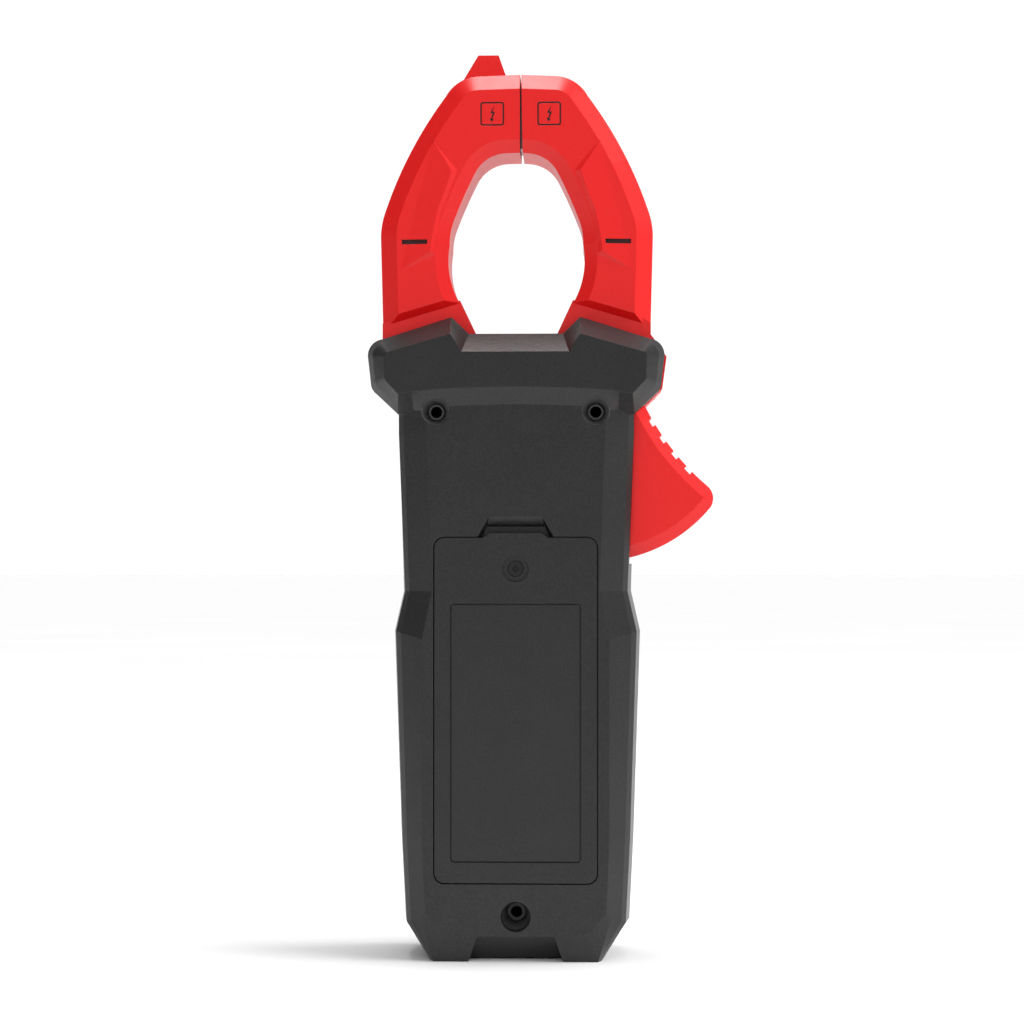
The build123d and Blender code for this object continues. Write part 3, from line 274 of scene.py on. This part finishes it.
MATERIALS = {
    "case_plastic": case_plastic(),
    "door_plastic": plastic("door_plastic", (0.0060, 0.0060, 0.0062), (0.0115, 0.0115, 0.0118),
                            roughness=0.38, grain_mm=0.38, depth_mm=0.07, edge_mm=0.15),
    "red_plastic": red_plastic(),
    "black_steel": screw_black(),
    "core_steel": metal("core_steel", (0.30, 0.30, 0.31), (0.42, 0.42, 0.43), 0.35, (1, 12, 1)),
    "mark_ink": plain_print("mark_ink", (0.010, 0.003, 0.003), (0.016, 0.004, 0.004), 0.6),
    "white_ink": plain_print("white_ink", (0.80, 0.80, 0.80), (0.88, 0.88, 0.87)),
    "copper": metal("copper", (0.70, 0.28, 0.12), (0.80, 0.36, 0.18), 0.30),
    "bearing_brass": metal("bearing_brass", (0.68, 0.46, 0.18), (0.80, 0.60, 0.30), 0.28),
    "spring_steel": metal("spring_steel", (0.50, 0.50, 0.51), (0.62, 0.62, 0.63), 0.28),
    "bobbin_plastic": plastic("bobbin_plastic", (0.010, 0.010, 0.010), (0.016, 0.016, 0.016),
                              roughness=0.45, grain_mm=0.5, depth_mm=0.02),
    "foam": foam(),
    "cell_sleeve": plastic("cell_sleeve", (0.02, 0.05, 0.16), (0.03, 0.07, 0.2),
                           roughness=0.3, grain_mm=2.0, depth_mm=0.01),
    "board_laminate": board(),
    "window_clear": clear_window(),
    "display_glass": plain_print("display_glass", (0.30, 0.35, 0.28), (0.33, 0.38, 0.30), 0.25),
    "guide_white": plain_print("guide_white", (0.75, 0.75, 0.74), (0.82, 0.82, 0.80), 0.4),
    "key_rubber": plastic("key_rubber", (0.03, 0.03, 0.032), (0.04, 0.04, 0.042),
                          roughness=0.7, grain_mm=0.5, depth_mm=0.03),
    "key_plastic": plastic("key_plastic", (0.10, 0.105, 0.115), (0.12, 0.125, 0.135),
                           roughness=0.42, grain_mm=0.3, depth_mm=0.02, edge_mm=0.3),
    "knob_plastic": plastic("knob_plastic", (0.016, 0.016, 0.018), (0.02, 0.02, 0.022),
                            roughness=0.4, grain_mm=0.3, depth_mm=0.02, edge_mm=0.3),
    "dial_print": plain_print("dial_print", (0.030, 0.030, 0.033), (0.034, 0.034, 0.037), 0.45),
}
SLOT_OF = {row["node"]: row["material_slot"] for row in frame["record"]["subparts"]}


def dress_frame():
    """Every CAD node gets the material of its slot."""
    for name, obj in frame["nodes"].items():
        obj.data.materials.clear()
        obj.data.materials.append(MATERIALS[SLOT_OF[name]])


# ---- lettering and display (all in mm) ----------------------------------------------------
FRONT_Y = -16.0               # display-side face of the casing
INK_GAP = 0.03                # ink stands this far off its face

DIAL_Z = 108.0
DIAL_FIRST_DEG = -100         # first switch position, from straight up towards +X
DIAL_STEP_DEG = 25
DIAL_MARKS = ("OFF", "2", "20", "200", "600", "2", "20", "200", "400")
DIAL_MARK_R, DIAL_MARK_SIZE = 17.7, 1.9
TICK_INNER_R, TICK_OUTER_R, TICK_HALF_DEG = 15.7, 16.5, 0.6

KEY_MARKS = {"key_select": (-15.0, "S"), "key_range": (-5.0, "R"), "key_hold": (5.0, "H"),
             "key_light": (15.0, "L")}
KEY_Z, KEY_FRONT_Y, KEY_MARK_SIZE = 79.0, -17.1, 3.0

SOCKET_MARKS = {"mark_plus": (-9.5, "+"), "mark_minus": (9.5, "-")}
SOCKET_MARK_Z, SOCKET_MARK_SIZE = 11.5, 4.0

DIGITS = 3                    # the reading is 0.00
DIGITS_Y, DIGITS_Z = -14.53, 47.0
DIGIT_HEIGHT, DIGIT_WIDTH, DIGIT_PITCH = 14.0, 7.0, 10.4
SEGMENT_THICK, SEGMENT_GAP = 1.4, 0.5
POINT_HALF = 0.6

BORDER_Y = -14.57
BORDER_OUTER = (-19.8, 28.0, 19.8, 63.0)      # low x, low z, high x, high z
BORDER_INNER = (-17.6, 33.0, 17.6, 60.6)


def lettering(name, text, size, place, body, material, turn_deg=0.0):
    """Printed text on the display side, centred on a place."""
    x, y, z = place
    curve = bpy.data.curves.new(name, "FONT")
    curve.body = text
    curve.size = size * MM
    curve.align_x = "CENTER"
    curve.align_y = "CENTER"
    curve.resolution_u = 3
    curve.extrude = 0.5 * INK_GAP * MM
    curve.materials.append(material)
    label = bpy.data.objects.new(name, curve)
    label.rotation_euler = (math.radians(90), math.radians(turn_deg), 0)
    label.location = (x * MM, (y - INK_GAP) * MM, z * MM)
    bpy.context.scene.collection.objects.link(label)
    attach(label, body)


def flat_piece(name, outlines, y, material):
    """Thin printed shapes on the casing at depth y; each outline is a list of (x, z)."""
    bm = bmesh.new()
    for outline in outlines:
        bm.faces.new([bm.verts.new((x * MM, y * MM, z * MM)) for x, z in outline])
    bmesh.ops.recalc_face_normals(bm, faces=bm.faces)
    mesh = bpy.data.meshes.new(name)
    bm.to_mesh(mesh)
    bm.free()
    mesh.materials.append(material)
    piece = bpy.data.objects.new(name, mesh)
    bpy.context.scene.collection.objects.link(piece)
    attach(piece, "casing")


def rectangle(low_x, low_z, high_x, high_z):
    return [(low_x, low_z), (high_x, low_z), (high_x, high_z), (low_x, high_z)]


def around(radius, degrees):
    """Point on the dial, measured from straight up towards +X."""
    angle = math.radians(degrees)
    return radius * math.sin(angle), DIAL_Z + radius * math.cos(angle)


def dial_scale(ink):
    """Ticks and ranges around the rotary switch."""
    ticks = []
    for index, text in enumerate(DIAL_MARKS):
        degrees = DIAL_FIRST_DEG + index * DIAL_STEP_DEG
        first, last = degrees - TICK_HALF_DEG, degrees + TICK_HALF_DEG
        ticks.append([around(TICK_INNER_R, first), around(TICK_OUTER_R, first),
                      around(TICK_OUTER_R, last), around(TICK_INNER_R, last)])
        x, z = around(DIAL_MARK_R, degrees)
        lettering(f"dial_mark_{index}", text, DIAL_MARK_SIZE, (x, FRONT_Y, z), "casing", ink,
                  degrees)
    flat_piece("dial_ticks", ticks, FRONT_Y - INK_GAP, ink)


def segment(x, z, length, level):
    """Six-cornered display segment, lying level or standing up."""
    half, side = length / 2, SEGMENT_THICK / 2
    corners = [(-half, 0), (-half + side, side), (half - side, side), (half, 0),
               (half - side, -side), (-half + side, -side)]
    return [(x + a, z + b) if level else (x + b, z + a) for a, b in corners]


def nought(x):
    """The six segments of a nought."""
    side, half = DIGIT_WIDTH / 2, DIGIT_HEIGHT / 2
    level = [segment(x, DIGITS_Z + up, DIGIT_WIDTH - SEGMENT_GAP, True) for up in (half, -half)]
    standing = [segment(x + across, DIGITS_Z + up, half - SEGMENT_GAP, False)
                for across in (-side, side) for up in (half / 2, -half / 2)]
    return level + standing


def reading(ink):
    """Seven-segment reading on the liquid-crystal glass."""
    first = -DIGIT_PITCH * (DIGITS - 1) / 2
    outlines = [outline for index in range(DIGITS) for outline in nought(first + index * DIGIT_PITCH)]
    x, z = first + DIGIT_PITCH / 2, DIGITS_Z - DIGIT_HEIGHT / 2
    outlines.append(rectangle(x - POINT_HALF, z - POINT_HALF, x + POINT_HALF, z + POINT_HALF))
    flat_piece("display_digits", outlines, DIGITS_Y, ink)


def window_border(ink):
    """Dark printed border behind the display window."""
    x0, z0, x1, z1 = BORDER_OUTER
    inner_x0, inner_z0, inner_x1, inner_z1 = BORDER_INNER
    strips = [rectangle(x0, z0, x1, inner_z0), rectangle(x0, inner_z1, x1, z1),
              rectangle(x0, inner_z0, inner_x0, inner_z1),
              rectangle(inner_x1, inner_z0, x1, inner_z1)]
    flat_piece("window_border", strips, BORDER_Y, ink)


def front_graphics():
    white = plain_print("print_white", (0.70, 0.70, 0.70), (0.78, 0.78, 0.78), 0.5)
    dark = plain_print("print_dark", (0.012, 0.013, 0.012), (0.018, 0.019, 0.018), 0.4)
    border = plain_print("print_border", (0.008, 0.008, 0.009), (0.012, 0.012, 0.013), 0.35)
    dial_scale(white)
    reading(dark)
    window_border(border)
    for key, (x, text) in KEY_MARKS.items():
        lettering(f"{key}_mark", text, KEY_MARK_SIZE, (x, KEY_FRONT_Y, KEY_Z), key, white)
    for name, (x, text) in SOCKET_MARKS.items():
        lettering(name, text, SOCKET_MARK_SIZE, (x, FRONT_Y, SOCKET_MARK_Z), "casing", white)


# ---- studio (metres) ----------------------------------------------------------------------
FLOOR_R = 40.0
SKY_BRIGHT_SIDE, SKY_DIM_SIDE = 0.60, 0.20      # towards -X and towards +X
SKY_BEHIND = 1.06                               # beyond the display side
SUNS = {"key": ((-0.83, 0.10, 0.55), 3.1, 45),  # direction to it, strength, spread in degrees
        "fill": ((0.10, 0.90, 0.42), 0.9, 60)}
OVERHEAD_PLACE = Vector((0.0, -0.03, 1.1))
OVERHEAD_TARGET = Vector((0.0, 0.0, 0.21))
OVERHEAD_SIZE = (0.4, 0.2)
OVERHEAD_WATTS = 5.0


def flat_floor():
    """Pale floor, far larger than the object."""
    mesh = bpy.data.meshes.new("floor")
    bm = bmesh.new()
    bmesh.ops.create_circle(bm, cap_ends=True, segments=96, radius=FLOOR_R)
    bm.to_mesh(mesh)
    bm.free()
    floor = bpy.data.objects.new("floor", mesh)
    bpy.context.scene.collection.objects.link(floor)
    n = Nodes("floor_paper")
    n.set(Base_Color=n.ramp(n.noise(300.0), (0.87, 0.87, 0.87), (0.89, 0.89, 0.89)),
          Roughness=n.between(n.noise(40.0), 0.75, 0.9))
    mesh.materials.append(n.material)


def soft_sun(name, towards, strength, spread_deg):
    """Far, wide light that leaves no highlights of its own."""
    data = bpy.data.lights.new(name, "SUN")
    data.energy = strength
    data.angle = math.radians(spread_deg)
    lamp = bpy.data.objects.new(name, data)
    bpy.context.scene.collection.objects.link(lamp)
    lamp.rotation_euler = Vector(towards).to_track_quat("Z", "Y").to_euler()
    lamp.visible_glossy = False


def overhead_softbox():
    """Small softbox that lights the tops of the jaws."""
    data = bpy.data.lights.new("overhead", "AREA")
    data.shape = "RECTANGLE"
    data.size, data.size_y = OVERHEAD_SIZE
    data.energy = OVERHEAD_WATTS
    lamp = bpy.data.objects.new("overhead", data)
    bpy.context.scene.collection.objects.link(lamp)
    lamp.location = OVERHEAD_PLACE
    lamp.rotation_euler = (OVERHEAD_TARGET - OVERHEAD_PLACE).to_track_quat("-Z", "Y").to_euler()


def smooth_step(tree, value, start, end, low, high):
    """Number going smoothly from low to high while value goes from start to end."""
    node = tree.nodes.new("ShaderNodeMapRange")
    node.interpolation_type = "SMOOTHSTEP"
    tree.links.new(value, node.inputs["Value"])
    for name, number in (("From Min", start), ("From Max", end), ("To Min", low),
                         ("To Max", high)):
        node.inputs[name].default_value = number
    return node.outputs["Result"]


def sky(tree):
    """Brightness of the surroundings: most beyond the display side, least towards +X."""
    place = tree.nodes.new("ShaderNodeTexCoord").outputs["Generated"]
    split = tree.nodes.new("ShaderNodeSeparateXYZ")
    tree.links.new(place, split.inputs["Vector"])
    across = smooth_step(tree, split.outputs["X"], -0.8, 0.8, SKY_BRIGHT_SIDE, SKY_DIM_SIDE)
    behind = smooth_step(tree, split.outputs["Y"], -0.9, -0.4, 1.0, 0.0)
    blend = tree.nodes.new("ShaderNodeMix")
    tree.links.new(behind, blend.inputs[0])
    tree.links.new(across, blend.inputs[2])
    blend.inputs[3].default_value = SKY_BEHIND
    return blend.outputs[0]


def studio():
    world = bpy.data.worlds.new("studio")
    bpy.context.scene.world = world
    world.use_nodes = True
    background = world.node_tree.nodes["Background"]
    background.inputs["Color"].default_value = (1, 1, 1, 1)
    world.node_tree.links.new(sky(world.node_tree), background.inputs["Strength"])
    bpy.context.scene.view_settings.view_transform = "Standard"
    for name, (towards, strength, spread_deg) in SUNS.items():
        soft_sun(name, towards, strength, spread_deg)
    overhead_softbox()


# ---- camera -------------------------------------------------------------------------------
CAMERA_PLACE = Vector((-0.0174, 0.588, 0.0937))
CAMERA_TARGET = Vector((0.00074, 0.018, 0.0937))
LENS_MM = 84.7
SHIFT_Y = 0.0557


def camera():
    data = bpy.data.cameras.new("camera")
    data.sensor_width = 36.0
    data.lens = LENS_MM
    data.shift_y = SHIFT_Y
    data.clip_start = 0.01
    view = bpy.data.objects.new("camera", data)
    bpy.context.scene.collection.objects.link(view)
    view.location = CAMERA_PLACE
    view.rotation_euler = (CAMERA_TARGET - CAMERA_PLACE).to_track_quat("-Z", "Y").to_euler()
    bpy.context.scene.camera = view


dress_frame()
front_graphics()
flat_floor()
studio()
camera()
